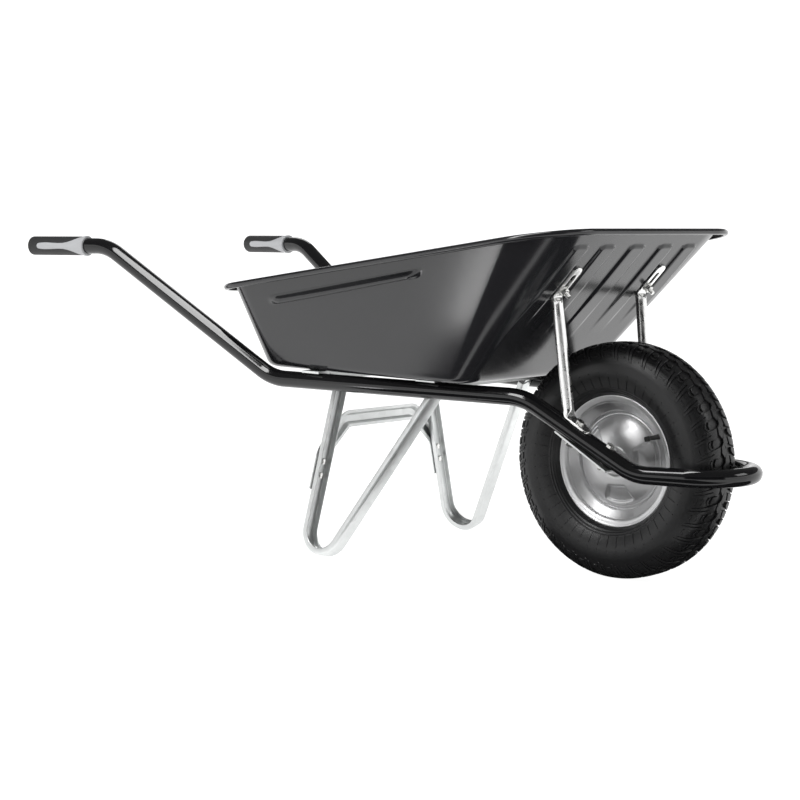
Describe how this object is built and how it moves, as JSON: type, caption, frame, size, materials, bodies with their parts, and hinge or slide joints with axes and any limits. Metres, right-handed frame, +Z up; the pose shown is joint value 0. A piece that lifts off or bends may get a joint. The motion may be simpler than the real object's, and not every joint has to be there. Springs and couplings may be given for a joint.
{
  "type": "wheelbarrow",
  "caption": "Builder's wheelbarrow: flared sheet tray with a ribbed front wall on a bent tube frame, V-shaped channel legs, grips and one air-filled wheel.",
  "frame": {"origin": "on the ground under the middle of the barrow's bounding box", "axes": "+X forward to the wheel end, +Y to the left, +Z up"},
  "size_m": [1.4571, 0.6294, 0.5897],
  "materials": {
    "frame_paint": "gloss",
    "tray_paint": "gloss",
    "galvanised": "satin",
    "fastener": "satin",
    "grip_sleeve": "satin",
    "grip_rubber": "matt, fine-textured",
    "axle_steel": "turned",
    "bearing_steel": "polished",
    "rim_zinc": "bright zinc",
    "tyre": "matt",
    "valve_rubber": "matt",
    "valve_cap": "satin"
  },
  "bodies": {
    "barrow": {"frame_tube": "frame_paint", "tray": "tray_paint", "grip_sleeve_right": "grip_sleeve", "grip_sleeve_left": "grip_sleeve", "grip_cover_right": "grip_rubber", "grip_cover_left": "grip_rubber", "cross_member_front": "galvanised", "cross_member_rear": "galvanised", "leg_right": "galvanised", "leg_left": "galvanised", "leg_brace": "galvanised", "stay_right": "galvanised", "stay_left": "galvanised", "axle_bracket_right": "galvanised", "axle_bracket_left": "galvanised", "tray_bolts": "fastener", "tray_nuts": "fastener", "frame_screws": "fastener", "frame_inserts": "fastener", "bracket_bolts": "fastener", "bracket_nuts": "fastener", "stay_top_bolts": "fastener", "stay_top_washers": "fastener", "stay_top_nuts": "fastener", "brace_bolts": "fastener", "brace_nuts": "fastener", "axle_shaft": "axle_steel", "axle_nuts": "fastener", "axle_spacers": "axle_steel"},
    "wheel": {"hub_tube": "rim_zinc", "bearing_right": "bearing_steel", "bearing_left": "bearing_steel", "wheel_rim": "rim_zinc", "tyre": "tyre", "valve_stem": "valve_rubber", "valve_cap": "valve_cap"}
  },
  "joints": [
    {"name": "wheel_spin", "type": "hinge", "parent": "barrow", "child": "wheel", "pos_m": [0.4737, 0, 0.2], "axis": [0, 1, 0], "continuous": true}
  ]
}
